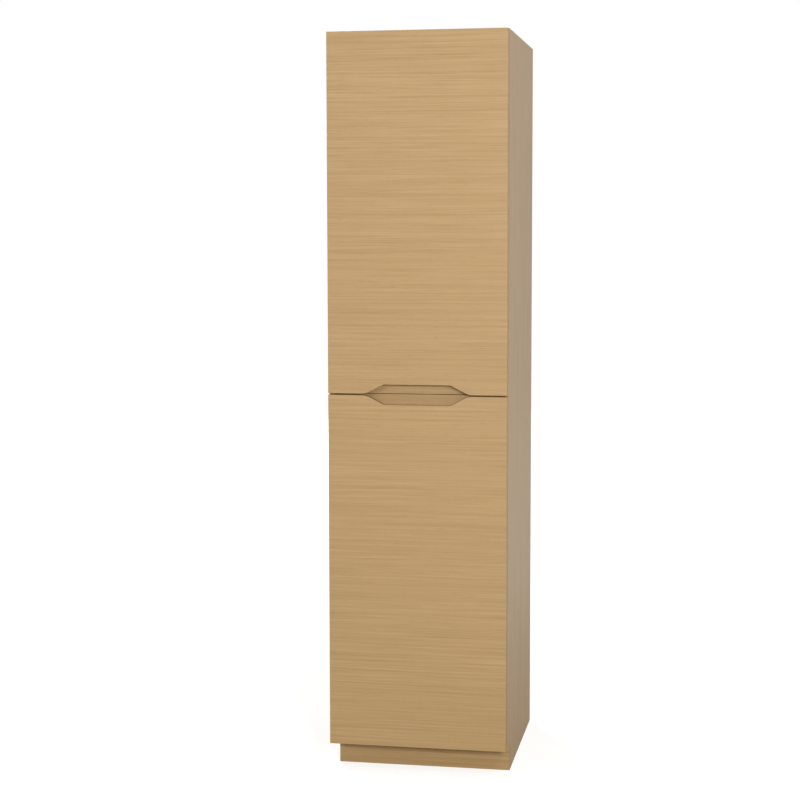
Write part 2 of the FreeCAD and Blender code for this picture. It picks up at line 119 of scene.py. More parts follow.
def colour(name, description, code):
    """Colour property with its default as an sRGB hex colour."""
    return FloatVectorProperty(name=name, description=description, default=linear(code),
                               subtype="COLOR", min=0, max=1)


class BoardPrint(bpy.types.PropertyGroup):
    """Wood print, edging and cores of the boards."""
    pale: colour("Pale lines", "Lightest lines of the print", "C1A173")
    dark: colour("Dark lines", "Darkest lines of the print", "AD8C5E")
    pore: colour("Pores", "Short dark dashes in the print", "8A6839")
    edging: colour("Edging", "Shade of the edging tape over the print", "F8F2EA")
    # Darker edging where the two rails meet: painted shade in their joint, over the real edging tape
    rail_joint_shade: colour("Rail edging", "Shade of the darker edging where the two rails meet", "A8845C")
    line_length: length("Line length", "Usual length of the longest lines of the print", 700)
    line_width: length("Line width", "Usual width of the longest lines of the print", 6)
    fine_length: length("Fine line length", "Usual length of the fine lines of the print", 170)
    fine_width: length("Fine line width", "Usual width of the fine lines of the print", 2.6)
    pore_length: length("Pore length", "Length of a pore dash", 24)
    pore_width: length("Pore width", "Width of a pore dash, drawn coarser than real to show", 1.3)
    pore_strength: share("Pore strength", "How dark the pores are printed", 0.3)
    calm_length: length("Calm length", "Length of the calmer stretches of the print", 300)
    calm_width: length("Calm width", "Width of the calmer stretches of the print", 70)
    calm_least: share("Least contrast", "Contrast of the lines where the print is calmest", 0.65)
    calm_most: FloatProperty(name="Most contrast", default=1.4,
                             description="Contrast of the lines where the print is liveliest")
    sway: length("Sway", "How far the lines wander across the grain", 2.5)
    sway_length: length("Sway length", "Distance over which the lines wander", 700)
    relief: length("Relief", "Depth of the pressed grain", 0.08)
    relief_strength: share("Relief strength", "How much the pressed grain shows in the light", 0.2)
    roughness: share("Roughness", "Roughness of the resin on standing boards", 0.48)
    gloss: share("Gloss", "Strength of the reflection on standing boards", 0.31)
    dull_roughness: share("Dull roughness", "Roughness of the resin on lying boards and the plinth", 0.64)
    dull_gloss: share("Dull gloss", "Strength of the reflection on lying boards and the plinth", 0.22)
    chip_pale: colour("Pale chips", "Lightest flakes on a sawn board edge", "D0B484")
    chip_dark: colour("Dark chips", "Darkest flakes on a sawn board edge", "A07A49")
    chip_length: length("Chip length", "Length of a flake on a sawn board edge", 5)
    chip_thickness: length("Chip thickness", "Thickness of a flake, drawn coarser than real to show", 1.3)
    fibre_pale: colour("Pale fibre", "Lightest fibres on the bare rear of the back panel", "9F7141")
    fibre_dark: colour("Dark fibre", "Darkest fibres on the bare rear of the back panel", "6E4D2A")
    fibre_size: length("Fibre clump", "Size of a clump of pressed fibre", 5)


class Metalwork(bpy.types.PropertyGroup):
    """Hinges, screws, pegs and cams."""
    nickel: colour("Nickel plate", "Brightest nickel of the hinges, screws and pegs", "D8D4CC")
    nickel_dull: colour("Dull nickel", "Hazier patches of the nickel", "CCC8BF")
    nickel_roughness: share("Nickel roughness", "Roughness of the nickel plate", 0.3)
    haze_size: length("Haze size", "Size of a hazy patch on the nickel", 4)
    zinc: colour("Zinc casting", "Brightest zinc of the cams", "9A9CA0")
    zinc_dull: colour("Dull zinc", "Darker grit of the zinc", "828488")
    zinc_roughness: share("Zinc roughness", "Roughness of the cast zinc", 0.5)
    grit_size: length("Grit size", "Size of the grit that casting leaves on zinc", 0.8)
    edge_round: length("Pressed edge", "Rounding on the edges of pressed steel", 0.2)
    sharp_edge: angle("Sharp edge", "Edges that turn by more than this are rounded", 60)
    wood_shank: length("Wood screw", "Diameter over the thread of a wood screw", 3.5)
    wood_point: length("Wood screw point", "Length of a wood screw's point", 3)
    wood_pitch: length("Wood screw pitch", "Rise of a wood screw's thread in one turn", 1.6)
    wood_thread: length("Wood screw thread", "Height of a wood screw's thread over its core", 0.5)
    machine_shank: length("Machine screw", "Diameter over the thread of the screws on the arms", 4)
    machine_point: length("Machine screw point", "Length of a machine screw's blunt point", 1)
    machine_pitch: length("Machine screw pitch", "Rise of a machine screw's thread in one turn", 0.7)
    machine_thread: length("Machine screw thread", "Height of a machine screw's thread over its core", 0.25)
    pan_height: length("Pan head", "Height of a machine screw's head", 2)
    pan_face: share("Pan face", "Face of a pan head as a share of its diameter", 0.82)
    drive_span: length("Drive span", "Length of the cross recess in a screw head", 3.6)
    drive_width: length("Drive width", "Width of the cross recess in a screw head", 0.9)
    drive_depth: length("Drive depth", "Depth of the cross recess in a screw head", 1)
    seed: IntProperty(name="Seed", description="Sets how the screw heads are turned", default=7)


class PlainParts(bpy.types.PropertyGroup):
    """Plain timber and silicone."""
    timber_pale: colour("Pale timber", "Beech of the corner blocks and dowels", "DDB98A")
    timber_ray: colour("Timber rays", "Darker rays in the beech", "B88A57")
    timber_roughness: share("Timber roughness", "Roughness of sanded beech", 0.65)
    ray_length: length("Ray length", "Length of a ray along the beech", 60)
    ray_width: length("Ray width", "Width of a ray, drawn coarser than real to show", 6)
    silicone: colour("Silicone", "Clearest silicone of the door bumpers", "F1F1EE")
    silicone_cloud: colour("Silicone cloud", "Cloudier patches of the silicone", "D9DAD6")
    silicone_roughness: share("Silicone roughness", "Roughness of cast silicone", 0.38)
    silicone_clear: share("Silicone clearness", "Share of light that goes through the silicone", 0.45)
    cloud_size: length("Cloud size", "Size of a cloudy patch in the silicone", 3)


class Studio(bpy.types.PropertyGroup):
    """Camera, floor and light."""
    eye: place("Camera", "Place of the camera", (0.832, -5.052, 1.525))
    yaw: angle("Yaw", "Turn of the camera to the left", 10.475)
    pitch: angle("Pitch", "Tilt of the camera above level", -5.209)
    roll: angle("Roll", "Turn of the camera about its view", -0.114)
    focal: optic("Focal length", "Focal length of the lens", 79.506)
    sensor: optic("Sensor", "Width of the picture behind the lens", 36)
    rise: share("Rise", "Upward shift of the lens, as a share of the picture", -0.015)
    left_lamp: place("Left lamp", "Soft lamp to the left of the camera", (-1.83, -5.32, 2.40))
    left_power: power("Left power", "Power of the left lamp", 42)
    right_lamp: place("Right lamp", "Soft lamp to the right of the camera", (1.86, -5.40, 1.95))
    right_power: power("Right power", "Power of the right lamp", 141)
    side_lamp: place("Side lamp", "High soft lamp to the right of the cupboard", (2.5, -2.8, 4.6))
    side_power: power("Side power", "Power of the side lamp", 38)
    rear_lamp: place("Rear lamp", "Soft lamp behind the cupboard", (-4.0, 8.0, 2.6))
    rear_power: power("Rear power", "Power of the rear lamp", 420)
    lamp_size: length("Lamp size", "Side of each square soft lamp", 650)
    ambient: share("Ambient", "Even light from all round", 0.37)
    near_lift: share("Near lift", "How far the floor is lifted towards white at the cupboard's foot", 0.74)
    mirror_lift: share("Mirror lift", "Near lift of the floor as the boards and the metal mirror it", 0.35)
    far_lift: share("Far lift", "How far the floor is lifted towards white further away", 0.84)
    near_radius: length("Near radius", "Distance up to which the near lift holds", 500)
    far_radius: length("Far radius", "Distance from which the far lift holds", 3000)
    floor_radius: length("Floor radius", "Radius of the round floor", 30000)
    paper: colour("Floor", "Pale studio floor", "B8B7B4")


def add(tree, kind, inputs=(), **settings):
    """Add a node with its settings; each input takes a value, or a link from an output."""
    made = tree.nodes.new(kind)
    for name, value in settings.items():
        setattr(made, name, value)
    for key, value in dict(inputs).items():
        if isinstance(value, bpy.types.NodeSocket):
            tree.links.new(value, made.inputs[key])
        else:
            made.inputs[key].default_value = value
    return made


def opaque(rgb):
    """RGB with full alpha, as a colour socket takes it."""
    return (*rgb, 1)


def new_material(name):
    """New material with its node tree and its surface shader."""
    made = bpy.data.materials.new(name)
    made.use_nodes = True
    return made, made.node_tree, made.node_tree.nodes["Principled BSDF"]


def both_ways(axis):
    """The two directions along an axis."""
    ahead = tuple(float(axis == other) for other in (X, Y, Z))
    return [ahead, tuple(-part for part in ahead)]


def facing(tree, normal, directions):
    """1 on faces that look along any of the directions, and 0 elsewhere."""
    found = 0.0
    for direction in directions:
        towards = add(tree, "ShaderNodeVectorMath", {0: normal, 1: direction}, operation="DOT_PRODUCT")
        looks = add(tree, "ShaderNodeMath", {0: towards.outputs["Value"], 1: FACING},
                    operation="GREATER_THAN")
        found = add(tree, "ShaderNodeMath", {0: found, 1: looks.outputs[0]}, operation="MAXIMUM").outputs[0]
    return found


def vary_roughness(tree, surface, pattern, middle, swing=0.04):
    """Let the roughness follow a pattern, a little to either side of its middle value."""
    satin = add(tree, "ShaderNodeMapRange", {0: pattern, 1: NOISE_LOW, 2: NOISE_HIGH,
                                             3: middle + swing, 4: middle - swing})
    tree.links.new(satin.outputs[0], surface.inputs["Roughness"])


def chip_colour(tree, position, face):
    """Sawn particle board: pale and brown wood flakes, pressed flat in the board."""
    finish = bpy.context.scene.board_print
    scale = [1 / finish.chip_length] * 3
    scale[face] = 1 / finish.chip_thickness
    laid = add(tree, "ShaderNodeVectorMath", {0: position, 1: scale}, operation="MULTIPLY")
    flakes = add(tree, "ShaderNodeTexVoronoi", {"Vector": laid.outputs[0], "Scale": 1.0})
    shade = add(tree, "ShaderNodeSeparateColor", {0: flakes.outputs["Color"]})
    return add(tree, "ShaderNodeMix", {0: shade.outputs[0], 6: opaque(finish.chip_pale),
                                       7: opaque(finish.chip_dark)}, data_type="RGBA").outputs[2]


def fibre_colour(tree, position, face):
    """Bare hardboard: brown wood fibre in soft clumps, the same whichever way the board lies."""
    finish = bpy.context.scene.board_print
    clumps = add(tree, "ShaderNodeTexNoise", {"Vector": position, "Scale": 1 / finish.fibre_size,
                                              "Detail": 6.0, "Roughness": 0.7})
    return add(tree, "ShaderNodeMix", {0: clumps.outputs[0], 6: opaque(finish.fibre_dark),
                                       7: opaque(finish.fibre_pale)}, data_type="RGBA").outputs[2]


def wood_print_board(name, face, grain, tape, bare=(), core=chip_colour, dull=False, edging=None):
    """Melamine-faced board: a satin print of fine straight lines under clear resin, with edging to match.

    Face is the axis through the board, grain the one along the lines, and tape the one along the edging of
    the board's ends. Bare lists the directions in which the core shows, and core gives the core its colour.
    A dull board has the duller resin. Edging is a shade for the tape other than the usual one;
    the mid rails take a darker one, which is painted shade in the joint where they meet.
    """
    finish = bpy.context.scene.board_print
    made, tree, surface = new_material(name)
    coords = add(tree, "ShaderNodeTexCoord")
    position, normal = coords.outputs["Object"], coords.outputs["Normal"]
    on_end = facing(tree, normal, both_ways(grain))
    on_face = facing(tree, normal, both_ways(face))

    # The lines wander slowly across the grain
    slow = add(tree, "ShaderNodeTexNoise", {"Vector": position, "Scale": 1 / finish.sway_length,
                                            "Detail": 1.0})
    swayed = add(tree, "ShaderNodeVectorMath", {0: slow.outputs["Color"], 1: (finish.sway,) * 3,
                                                2: position}, operation="MULTIPLY_ADD")

    def lines(along, across, detail):
        """Noise drawn out along the print, and on the board's ends along the tape."""
        scales = []
        for axis in (grain, tape):
            scale = [1 / across] * 3
            scale[axis] = 1 / along
            scales.append(scale)
        scale = add(tree, "ShaderNodeMix", {0: on_end, 4: scales[0], 5: scales[1]}, data_type="VECTOR")
        drawn = add(tree, "ShaderNodeVectorMath", {0: swayed.outputs[0], 1: scale.outputs[1]},
                    operation="MULTIPLY")
        noise = add(tree, "ShaderNodeTexNoise", {"Vector": drawn.outputs[0], "Scale": 1.0,
                                                 "Detail": detail})
        return noise.outputs[0]

    # Long and fine lines in equal parts
    long_lines = lines(finish.line_length, finish.line_width, detail=2.0)
    fine_lines = lines(finish.fine_length, finish.fine_width, detail=2.0)
    tone = add(tree, "ShaderNodeMix", {0: 0.5, 2: long_lines, 3: fine_lines}, data_type="FLOAT").outputs[0]

    # The print is calm in some places and lively in others
    level = add(tree, "ShaderNodeMapRange", {0: tone, 1: NOISE_LOW, 2: NOISE_HIGH, 3: -0.5, 4: 0.5})
    stretches = lines(finish.calm_length, finish.calm_width, detail=1.0)
    contrast = add(tree, "ShaderNodeMapRange", {0: stretches, 1: NOISE_LOW, 2: NOISE_HIGH,
                                                3: finish.calm_least, 4: finish.calm_most})
    shade = add(tree, "ShaderNodeMath", {0: level.outputs[0], 1: contrast.outputs[0], 2: 0.5},
                operation="MULTIPLY_ADD", use_clamp=True)
    wood = add(tree, "ShaderNodeMix", {0: shade.outputs[0], 6: opaque(finish.dark), 7: opaque(finish.pale)},
               data_type="RGBA")
    pores = lines(finish.pore_length, finish.pore_width, detail=1.0)
    dashes = add(tree, "ShaderNodeMapRange", {0: pores, 1: PORE_START, 2: PORE_FULL,
                                              3: 0.0, 4: finish.pore_strength})
    printed = add(tree, "ShaderNodeMix", {0: dashes.outputs[0], 6: wood.outputs[2], 7: opaque(finish.pore)},
                  data_type="RGBA")
    # Shade of the edging tape; the mid rails' darker one is painted shade in their joint
    taped = add(tree, "ShaderNodeMix", {0: 1.0, 6: printed.outputs[2], 7: opaque(edging or finish.edging)},
                data_type="RGBA", blend_type="MULTIPLY")
    shown = add(tree, "ShaderNodeMix", {0: on_face, 6: taped.outputs[2], 7: printed.outputs[2]},
                data_type="RGBA")
    if bare:
        shown = add(tree, "ShaderNodeMix", {0: facing(tree, normal, bare), 6: shown.outputs[2],
                                            7: core(tree, position, face)}, data_type="RGBA")
    tree.links.new(shown.outputs[2], surface.inputs["Base Color"])

    vary_roughness(tree, surface, tone, finish.dull_roughness if dull else finish.roughness)
    bump = add(tree, "ShaderNodeBump", {"Height": tone, "Strength": finish.relief_strength,
                                        "Distance": finish.relief})
    tree.links.new(bump.outputs[0], surface.inputs["Normal"])
    surface.inputs["IOR"].default_value = RESIN_IOR
    surface.inputs["Specular IOR Level"].default_value = finish.dull_gloss if dull else finish.gloss
    return made


def mottled(name, dark, pale, patch, detail):
    """Material with two shades in patches of a real size along each axis; comes with its pattern."""
    made, tree, surface = new_material(name)
    coords = add(tree, "ShaderNodeTexCoord")
    scale = [1 / size for size in patch]
    spread = add(tree, "ShaderNodeVectorMath", {0: coords.outputs["Object"], 1: scale},
                 operation="MULTIPLY")
    noise = add(tree, "ShaderNodeTexNoise", {"Vector": spread.outputs[0], "Scale": 1.0, "Detail": detail})
    tint = add(tree, "ShaderNodeMix", {0: noise.outputs[0], 6: opaque(dark), 7: opaque(pale)},
               data_type="RGBA")
    tree.links.new(tint.outputs[2], surface.inputs["Base Color"])
    return made, tree, surface, noise.outputs[0]


def plated_steel():
    """Nickel-plated pressed steel: bright, a little warm, with a faint haze on the plate."""
    work = bpy.context.scene.metalwork
    made, tree, surface, haze = mottled("nickel_plated_steel", work.nickel_dull, work.nickel,
                                        (work.haze_size,) * 3, detail=2.0)
    vary_roughness(tree, surface, haze, work.nickel_roughness)
    surface.inputs["Metallic"].default_value = 1.0
    return made


def cast_zinc():
    """Die-cast zinc: dull grey with a fine cast grit."""
    work = bpy.context.scene.metalwork
    made, tree, surface, grit = mottled("cast_zinc", work.zinc_dull, work.zinc,
                                        (work.grit_size,) * 3, detail=3.0)
    vary_roughness(tree, surface, grit, work.zinc_roughness)
    surface.inputs["Metallic"].default_value = 1.0
    return made


def bare_timber():
    """Sanded beech: pale pinkish wood with short darker rays."""
    plain = bpy.context.scene.plain_parts
    made, tree, surface, rays = mottled("bare_timber", plain.timber_ray, plain.timber_pale,
                                        (plain.ray_width, plain.ray_width, plain.ray_length), detail=4.0)
    vary_roughness(tree, surface, rays, plain.timber_roughness)
    return made


def clear_silicone():
    """Cast silicone: cloudy and soft, lets some light through."""
    plain = bpy.context.scene.plain_parts
    made, tree, surface, cloud = mottled("clear_silicone", plain.silicone_cloud, plain.silicone,
                                         (plain.cloud_size,) * 3, detail=2.0)
    vary_roughness(tree, surface, cloud, plain.silicone_roughness)
    surface.inputs["IOR"].default_value = SILICONE_IOR
    surface.inputs["Transmission Weight"].default_value = plain.silicone_clear
    return made


def seen_directly(tree):
    """1 for rays that show the background itself: camera, mirror and glass rays."""
    path = add(tree, "ShaderNodeLightPath")
    seen = path.outputs["Is Camera Ray"]
    for kind in ("Is Glossy Ray", "Is Transmission Ray"):
        seen = add(tree, "ShaderNodeMath", {0: seen, 1: path.outputs[kind]}, operation="MAXIMUM").outputs[0]
    return seen


def studio_floor():
    """Matt pale paper: lifted to white in the picture, less so in mirrors, and still taking the shadow."""
    stage = bpy.context.scene.studio
    made, tree, surface = new_material("studio_floor")
    surface.inputs["Base Color"].default_value = opaque(stage.paper)
    surface.inputs["Roughness"].default_value = 1.0
    surface.inputs["Specular IOR Level"].default_value = 0.0
    surface.inputs["Emission Color"].default_value = WHITE
    coords, path = add(tree, "ShaderNodeTexCoord"), add(tree, "ShaderNodeLightPath")
    away = add(tree, "ShaderNodeVectorMath", {0: coords.outputs["Object"]}, operation="LENGTH")
    near = add(tree, "ShaderNodeMix", {0: path.outputs["Is Camera Ray"], 2: stage.mirror_lift,
                                       3: stage.near_lift}, data_type="FLOAT")
    lift = add(tree, "ShaderNodeMapRange", {0: away.outputs["Value"], 1: stage.near_radius,
                                            2: stage.far_radius, 3: near.outputs[0], 4: stage.far_lift},
               interpolation_type="SMOOTHSTEP")
    shown = add(tree, "ShaderNodeMath", {0: seen_directly(tree), 1: lift.outputs[0]}, operation="MULTIPLY")
    tree.links.new(shown.outputs[0], surface.inputs["Emission Strength"])
    return made


def paint(names, material):
    """Give the material to every slot of these CAD nodes."""
    for name in names:
        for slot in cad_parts[name].material_slots:
            slot.material = material


def merged_copy(node):
    """CAD node's mesh as a bmesh with its loose triangles joined up."""
    same_point = 0.005 * MM
    mesh = bmesh.new()
    mesh.from_mesh(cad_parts[node].data)
    bmesh.ops.remove_doubles(mesh, verts=mesh.verts, dist=same_point)
    return mesh


def solids_of(node):
    """Lowest and highest corner of each separate solid in a CAD node."""
    mesh = merged_copy(node)
    seen, boxes = set(), []
    for start in mesh.verts:
        if start in seen:
            continue
        seen.add(start)
        waiting, corners = [start], []
        while waiting:
            vert = waiting.pop()
            corners.append(vert.co.copy())
            for edge in vert.link_edges:
                other = edge.other_vert(vert)
                if other not in seen:
                    seen.add(other)
                    waiting.append(other)
        low = Vector(min(c[axis] for c in corners) for axis in (X, Y, Z))
        high = Vector(max(c[axis] for c in corners) for axis in (X, Y, Z))
        boxes.append((low, high))
    mesh.free()
    return boxes


def seats_of(node, axis, at_high_end):
    """Middle of one end of each solid in a CAD node of like solids, and the extent of a solid."""
    boxes = solids_of(node)
    seats = []
    for low, high in boxes:
        seat = (low + high) / 2
        seat[axis] = high[axis] if at_high_end else low[axis]
        seats.append(seat)
    low, high = boxes[0]
    return seats, high - low


def new_piece(name, mesh, body, node):
    """Show a finished mesh in place of a CAD node, riding on the same body."""
    piece = bpy.data.objects.new(name, mesh)
    bpy.context.scene.collection.objects.link(piece)
    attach(piece, body)
    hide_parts(node)


def evaluated_mesh(holder):
    """Plain mesh of an object with its modifiers worked in; the holder is then removed."""
    graph = bpy.context.evaluated_depsgraph_get()
    mesh = bpy.data.meshes.new_from_object(holder.evaluated_get(graph), depsgraph=graph)
    holder.modifiers.clear()
    bpy.data.objects.remove(holder)
    return mesh


def pressed_copy(node, body, material):
    """The CAD node with its sharp edges rounded, as pressed and plated steel has them."""
    work = bpy.context.scene.metalwork
    flat_angle, crisp_angle = math.radians(1), math.radians(20)
    merged = merged_copy(node)
    bmesh.ops.dissolve_limit(merged, angle_limit=flat_angle, verts=merged.verts, edges=merged.edges)
    data = bpy.data.meshes.new(node + "_pressed")
    merged.to_mesh(data)
    merged.free()
    # The normals that came with the loose triangles don't suit the joined faces
    data.attributes.remove(data.attributes["custom_normal"])
    data.shade_smooth()
    data.materials.append(material)
    holder = bpy.data.objects.new(node + "_holder", data)
    bpy.context.scene.collection.objects.link(holder)
    bevel = holder.modifiers.new("rounding", "BEVEL")
    bevel.width = work.edge_round
    bevel.segments = 2
    bevel.limit_method = "ANGLE"
    bevel.angle_limit = work.sharp_edge
    mesh = evaluated_mesh(holder)
    mesh.set_sharp_from_angle(angle=crisp_angle)
    new_piece(node + "_pressed", mesh, body, node)


def group_tree(name, lengths):
    """Geometry node tree that takes seats, lengths, an aim, a seed and a material; with its two ends."""
    tree = bpy.data.node_groups.new(name, "GeometryNodeTree")
    sockets = [("Seats", "Geometry")]
    sockets += [(label, "Float") for label in lengths]
    sockets += [("Aim", "Vector"), ("Seed", "Int"), ("Material", "Material")]
    for label, kind in sockets:
        tree.interface.new_socket(label, in_out="INPUT", socket_type="NodeSocket" + kind)
    tree.interface.new_socket("Pieces", in_out="OUTPUT", socket_type="NodeSocketGeometry")
    return tree, add(tree, "NodeGroupInput"), add(tree, "NodeGroupOutput")


def set_on_seats(name, tree, seats, values):
    """Run a geometry node tree on a cloud of seat points and return its plain mesh."""
    cloud = bpy.data.meshes.new(name)
    cloud.from_pydata(seats, [], [])
    holder = bpy.data.objects.new(name + "_seats", cloud)
    bpy.context.scene.collection.objects.link(holder)
    modifier = holder.modifiers.new("pieces", "NODES")
    modifier.node_group = tree
    for socket in tree.interface.items_tree:
        if socket.in_out == "INPUT" and socket.name in values:
            modifier[socket.identifier] = values[socket.name]
    mesh = evaluated_mesh(holder)
    mesh.name = name
    return mesh


def finish_tree(tree, shape, start, end):
    """Set the shape on every seat, each turned its own way about its axis, as one shaded mesh."""
    crisp_angle = math.radians(35)
    spin = add(tree, "FunctionNodeRandomValue", {"Max": math.tau, "Seed": start.outputs["Seed"]},
               data_type="FLOAT")
    about = add(tree, "ShaderNodeCombineXYZ", {"Z": spin.outputs["Value"]})
    own = add(tree, "FunctionNodeEulerToRotation", {0: about.outputs[0]})
    aim = add(tree, "FunctionNodeEulerToRotation", {0: start.outputs["Aim"]})
    turn = add(tree, "FunctionNodeRotateRotation", {0: aim.outputs[0], 1: own.outputs[0]},
               rotation_space="LOCAL")
    placed = add(tree, "GeometryNodeInstanceOnPoints", {"Points": start.outputs["Seats"], "Instance": shape,
                                                        "Rotation": turn.outputs[0]})
    real = add(tree, "GeometryNodeRealizeInstances", {0: placed.outputs[0]})
    smooth = add(tree, "GeometryNodeSetShadeSmooth", {0: real.outputs[0]}, domain="FACE")
    bend = add(tree, "GeometryNodeInputMeshEdgeAngle")
    sharp = add(tree, "FunctionNodeCompare", {0: bend.outputs[0], 1: crisp_angle}, operation="GREATER_THAN")
    crisp = add(tree, "GeometryNodeSetShadeSmooth", {0: smooth.outputs[0], 1: sharp.outputs[0], 2: False},
                domain="EDGE")
    dressed = add(tree, "GeometryNodeSetMaterial", {0: crisp.outputs[0],
                                                    "Material": start.outputs["Material"]})
    tree.links.new(dressed.outputs[0], end.inputs[0])


def screw_tree():
    """Cross-head screw along +Z: a conical head, a threaded core and a point, set on every seat."""
    tree, start, end = group_tree("cross_head_screws", (
        "Face Radius", "Base Radius", "Head Height", "Shank Radius", "Shank Length", "Point Length",
        "Thread Pitch", "Thread Depth", "Drive Span", "Drive Width", "Drive Depth"))
    size = start.outputs
    head_sides, core_sides, steps_in_turn, ridge_sides = 32, 20, 16, 3

    def moved(mesh, z):
        """A part of the screw, moved along it."""
        up = add(tree, "ShaderNodeCombineXYZ", {"Z": z})
        return add(tree, "GeometryNodeTransform", {0: mesh, "Translation": up.outputs[0]}).outputs[0]

    head = add(tree, "GeometryNodeMeshCone", {"Vertices": head_sides, "Radius Bottom": size["Face Radius"],
                                              "Radius Top": size["Base Radius"],
                                              "Depth": size["Head Height"]}, fill_type="NGON")

    # Cross recess, cut as far past the face as below it so that no skin is left
    deep = add(tree, "ShaderNodeMath", {0: size["Drive Depth"], 1: 2.0}, operation="MULTIPLY")
    cut = add(tree, "GeometryNodeMeshBoolean", {0: head.outputs["Mesh"]}, operation="DIFFERENCE",
              solver="EXACT")
    for wide, high in (("Drive Span", "Drive Width"), ("Drive Width", "Drive Span")):
        extent = add(tree, "ShaderNodeCombineXYZ", {0: size[wide], 1: size[high], 2: deep.outputs[0]})
        bar = add(tree, "GeometryNodeMeshCube", {"Size": extent.outputs[0]})
        tree.links.new(bar.outputs["Mesh"], cut.inputs["Mesh 2"])

    core_radius = add(tree, "ShaderNodeMath", {0: size["Shank Radius"], 1: size["Thread Depth"]},
                      operation="SUBTRACT").outputs[0]
    core = add(tree, "GeometryNodeMeshCone", {"Vertices": core_sides, "Radius Bottom": core_radius,
                                              "Radius Top": core_radius,
                                              "Depth": size["Shank Length"]}, fill_type="NGON")
    tip = add(tree, "GeometryNodeMeshCone", {"Vertices": core_sides, "Radius Bottom": core_radius,
                                             "Radius Top": 0.0, "Depth": size["Point Length"]},
              fill_type="NGON")
    tip_start = add(tree, "ShaderNodeMath", {0: size["Head Height"], 1: size["Shank Length"]}).outputs[0]

    # Thread: a three-sided ridge wound round the core
    turns = add(tree, "ShaderNodeMath", {0: size["Shank Length"], 1: size["Thread Pitch"]},
                operation="DIVIDE")
    helix = add(tree, "GeometryNodeCurveSpiral", {"Resolution": steps_in_turn,
                                                  "Rotations": turns.outputs[0],
                                                  "Start Radius": core_radius, "End Radius": core_radius,
                                                  "Height": size["Shank Length"]})
    ridge = add(tree, "GeometryNodeCurvePrimitiveCircle", {"Resolution": ridge_sides,
                                                           "Radius": size["Thread Depth"]}, mode="RADIUS")
    thread = add(tree, "GeometryNodeCurveToMesh", {0: helix.outputs[0], 1: ridge.outputs["Curve"],
                                                   "Fill Caps": True})

    shape = add(tree, "GeometryNodeJoinGeometry")
    for part in (cut.outputs[0], moved(core.outputs["Mesh"], size["Head Height"]),
                 moved(tip.outputs["Mesh"], tip_start), moved(thread.outputs[0], size["Head Height"])):
        tree.links.new(part, shape.inputs[0])
    finish_tree(tree, shape.outputs[0], start, end)
    return tree


def bumper_tree():
    """Domed pad along +Z with a flat sticking face, set on every seat."""
    tree, start, end = group_tree("domed_pads", ("Radius", "Height"))
    radius, height = start.outputs["Radius"], start.outputs["Height"]
    ball = add(tree, "GeometryNodeMeshUVSphere", {"Segments": 32, "Rings": 16, "Radius": 1.0})
    point = add(tree, "GeometryNodeInputPosition")

    # The lower half of the ball is pressed flat, and the upper half is drawn to size
    upper = add(tree, "ShaderNodeVectorMath", {0: point.outputs[0], 1: (-1, -1, 0)}, operation="MAXIMUM")
    extent = add(tree, "ShaderNodeCombineXYZ", {0: radius, 1: radius, 2: height})
    domed = add(tree, "ShaderNodeVectorMath", {0: upper.outputs[0], 1: extent.outputs[0]},
                operation="MULTIPLY")
    dome = add(tree, "GeometryNodeSetPosition", {0: ball.outputs["Mesh"], "Position": domed.outputs[0]})
    finish_tree(tree, dome.outputs[0], start, end)
    return tree


class CUPBOARD_OT_doors(bpy.types.Operator):
    """Finish the two doors: wood print with level grain, the same on their edges"""
    bl_idname = "cupboard.doors"
    bl_label = "Doors"

    def execute(self, context):
        level = wood_print_board("door_wood_print", face=Y, grain=X, tape=Z)
        paint([door + "_door" for door in DOORS], level)
        return {"FINISHED"}


class CUPBOARD_OT_carcass(bpy.types.Operator):
    """Finish the carcass: upright grain on standing boards, level grain on lying ones, sawn rear edges"""
    bl_idname = "cupboard.carcass"
    bl_label = "Carcass"

    def execute(self, context):
        upright = wood_print_board("upright_wood_print", face=X, grain=Z, tape=Y, bare=[REARWARD, DOWNWARD])
        paint(["left_gable", "right_gable", "partition"], upright)
        level = wood_print_board("level_wood_print", face=Z, grain=X, tape=Y, bare=[REARWARD], dull=True)
        paint(["top_panel", "bottom_panel", "fixed_shelf"], level)
        paint(["shelf_%d" % number for number in SHELVES], level)
        wall_rail = wood_print_board("wall_rail_wood_print", face=Y, grain=X, tape=Z)
        paint(["upper_wall_rail", "lower_wall_rail"], wall_rail)
        # The mid rails' edging is darkened as painted shade in the joint where they meet
        mid_rail = wood_print_board("mid_rail_wood_print", face=Y, grain=X, tape=Z,
                                    edging=context.scene.board_print.rail_joint_shade)
        paint(["upper_mid_rail", "lower_mid_rail"], mid_rail)
        back = wood_print_board("back_hardboard", face=Y, grain=Z, tape=X, bare=[REARWARD],
                                core=fibre_colour)
        paint(["back_panel"], back)
        return {"FINISHED"}


class CUPBOARD_OT_plinth(bpy.types.Operator):
    """Finish the plinth's boards and its timber corner blocks"""
    bl_idname = "cupboard.plinth"
    bl_label = "Plinth"

    def execute(self, context):
        level = wood_print_board("plinth_wood_print", face=Y, grain=X, tape=Z, bare=[DOWNWARD], dull=True)
        paint(["kickboard", "plinth_back"], level)
        deep = wood_print_board("plinth_side_wood_print", face=X, grain=Y, tape=Z, bare=[DOWNWARD],
                                dull=True)
        paint(["plinth_left", "plinth_brace"], deep)
        paint(["plinth_block_%d" % number for number in BLOCKS], bare_timber())
        return {"FINISHED"}


class CUPBOARD_OT_hinges(bpy.types.Operator):
    """Make the pressed hinge cups, arms and plates, and finish their pins"""
    bl_idname = "cupboard.hinges"
    bl_label = "Hinges"

    def execute(self, context):
        steel = plated_steel()
        for door in DOORS:
            for number in HINGES:
                hinge = "%s_hinge_%d_" % (door, number)
                pressed_copy(hinge + "cup", door + "_leaf", steel)
                pressed_copy(hinge + "arm", "carcass", steel)
                pressed_copy(hinge + "plate", "carcass", steel)
                paint([hinge + "pin"], steel)
        return {"FINISHED"}


